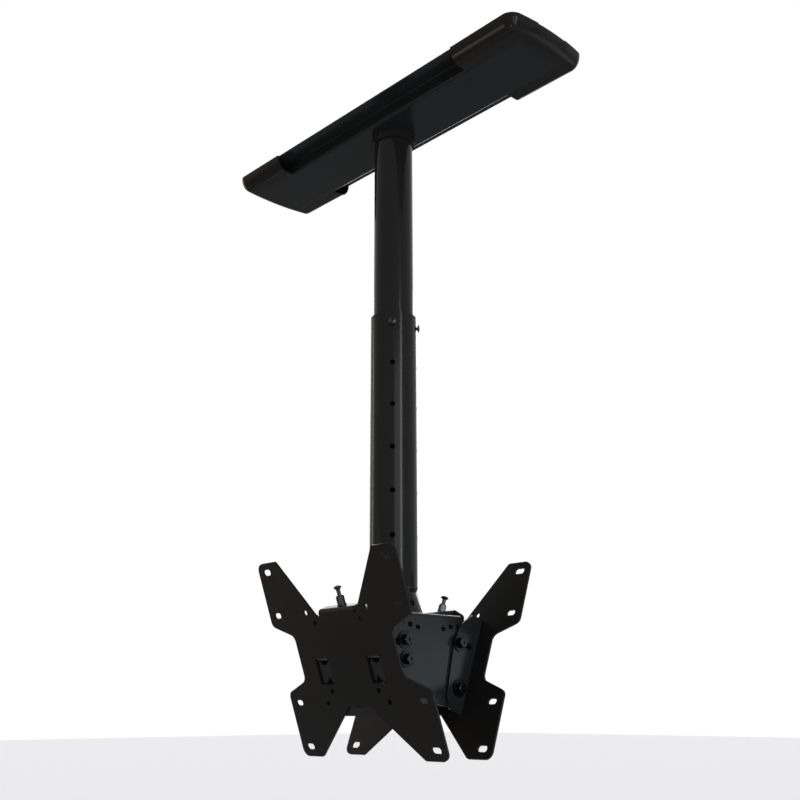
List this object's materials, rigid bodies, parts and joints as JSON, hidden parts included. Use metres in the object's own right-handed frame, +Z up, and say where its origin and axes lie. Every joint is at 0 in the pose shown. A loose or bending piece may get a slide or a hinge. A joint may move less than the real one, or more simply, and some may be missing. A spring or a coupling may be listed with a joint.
{
  "type": "back-to-back tv ceiling mount",
  "caption": "Ceiling mount for screens back to back: ceiling channel with end caps, telescopic column, swivelling yoke and tilting slotted screen plates.",
  "frame": {"origin": "centre of the four ceiling screw holes, on the ceiling face", "axes": "+Z up into the ceiling; X along the ceiling channel; -Y towards the front screen plate"},
  "size_m": [0.5204, 0.213, 0.7713],
  "materials": {
    "black_powder_coat": "satin",
    "cap_plastic": "gloss",
    "dark_zinc": "satin",
    "spring_steel": "satin",
    "nylon": "matte"
  },
  "bodies": {
    "ceiling_unit": {"ceiling_channel": "black_powder_coat", "end_cap_left": "cap_plastic", "end_cap_right": "cap_plastic", "column_socket": "black_powder_coat", "socket_screws": "dark_zinc", "upper_tube": "black_powder_coat", "lower_guide_bush": "nylon"},
    "column": {"upper_guide_bush": "nylon", "lower_tube": "black_powder_coat", "height_screws": "dark_zinc", "swivel_spigot": "dark_zinc", "thrust_ring": "nylon", "retaining_bolt": "dark_zinc", "retaining_washer": "dark_zinc"},
    "head": {"swivel_neck": "black_powder_coat", "neck_lock_screws": "dark_zinc", "yoke": "black_powder_coat", "front_pivot_bolts": "dark_zinc", "front_tilt_bolts": "dark_zinc", "front_lock_bolt": "dark_zinc", "front_flat_washers": "dark_zinc", "front_lock_washers": "dark_zinc", "front_nuts": "dark_zinc", "rear_pivot_bolts": "dark_zinc", "rear_tilt_bolts": "dark_zinc", "rear_lock_bolt": "dark_zinc", "rear_flat_washers": "dark_zinc", "rear_lock_washers": "dark_zinc", "rear_nuts": "dark_zinc"},
    "front_screen": {"front_tilt_bracket": "black_powder_coat", "front_screen_plate": "black_powder_coat", "front_plunger_barrel": "dark_zinc", "front_plunger_spring": "spring_steel"},
    "front_pin": {"front_plunger_pin": "dark_zinc"},
    "rear_screen": {"rear_tilt_bracket": "black_powder_coat", "rear_screen_plate": "black_powder_coat", "rear_plunger_barrel": "dark_zinc", "rear_plunger_spring": "spring_steel"},
    "rear_pin": {"rear_plunger_pin": "dark_zinc"}
  },
  "joints": [
    {"name": "column_slide", "type": "slide", "parent": "ceiling_unit", "child": "column", "axis": [0, 0, 1], "range_m": [0, 0.2032]},
    {"name": "head_swivel", "type": "hinge", "parent": "column", "child": "head", "pos_m": [0, 0, -0.6223], "axis": [0, 0, 1], "range_deg": [-90, 90]},
    {"name": "front_tilt", "type": "hinge", "parent": "head", "child": "front_screen", "pos_m": [0, -0.0383, -0.6994], "axis": [-1, 0, 0], "range_deg": [0, 20]},
    {"name": "front_plunger_pull", "type": "slide", "parent": "front_screen", "child": "front_pin", "axis": [0, -0.342, 0.9397], "range_m": [0, 0.0035], "stiffness_N_per_m": 800, "springref_m": -0.006, "deforming": ["front_plunger_spring"]},
    {"name": "rear_tilt", "type": "hinge", "parent": "head", "child": "rear_screen", "pos_m": [0, 0.0383, -0.6994], "axis": [1, 0, 0], "range_deg": [0, 20]},
    {"name": "rear_plunger_pull", "type": "slide", "parent": "rear_screen", "child": "rear_pin", "axis": [0, 0.342, 0.9397], "range_m": [0, 0.0035], "stiffness_N_per_m": 800, "springref_m": -0.006, "deforming": ["rear_plunger_spring"]}
  ]
}
